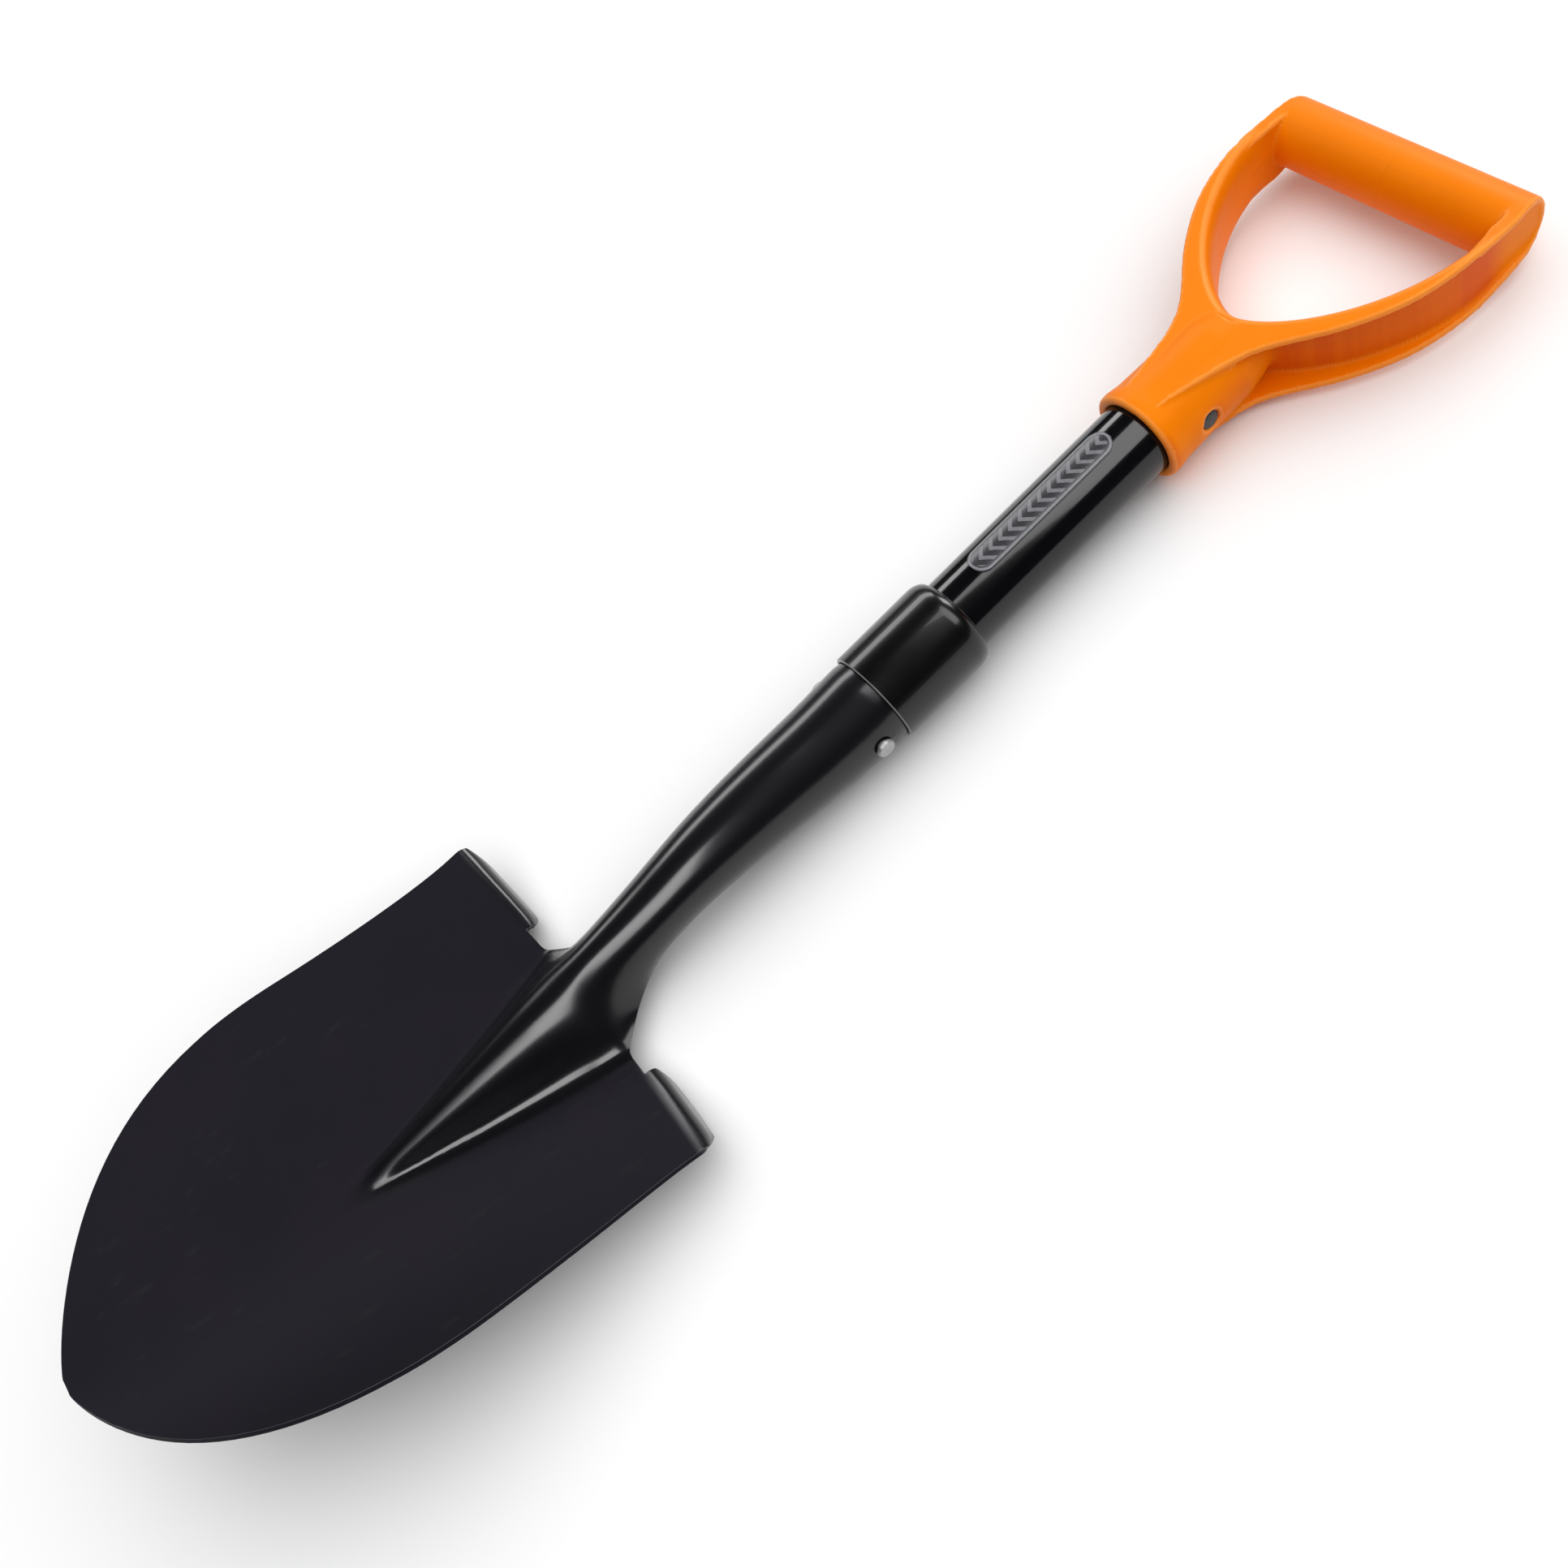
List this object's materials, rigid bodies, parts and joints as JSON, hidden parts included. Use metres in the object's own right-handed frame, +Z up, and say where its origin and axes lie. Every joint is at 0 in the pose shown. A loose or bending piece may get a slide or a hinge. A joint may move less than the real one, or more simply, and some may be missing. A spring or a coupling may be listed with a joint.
{
  "type": "round point shovel",
  "caption": "Short round point shovel: dished steel blade with foot steps and rolled socket, black tube shaft with collar, and moulded D-grip.",
  "frame": {"origin": "middle of the underside of the shovel's box, on the surface it lies on", "axes": "+X along the shaft from the blade's point to the grip, +Z up out of the dished front of the blade, Y across the blade"},
  "size_m": [0.678, 0.1726, 0.069],
  "materials": {
    "blade_steel": "black baked enamel, satin on the blade and glossier on the neck",
    "shaft_black": "gloss black powder coat",
    "core": "plain filled resin, hidden",
    "collar_black": "gloss black moulding",
    "label_film": "printed film with a plain stripe pattern",
    "grip_orange": "satin orange injection moulding",
    "rivet_zinc": "dull zinc"
  },
  "bodies": {
    "root": {"blade": "blade_steel", "shaft_tube": "shaft_black", "socket_core": "core", "grip_core": "core", "collar": "collar_black", "shaft_label": "label_film", "d_grip": "grip_orange", "socket_rivet": "rivet_zinc", "grip_rivet": "rivet_zinc"}
  },
  "joints": []
}
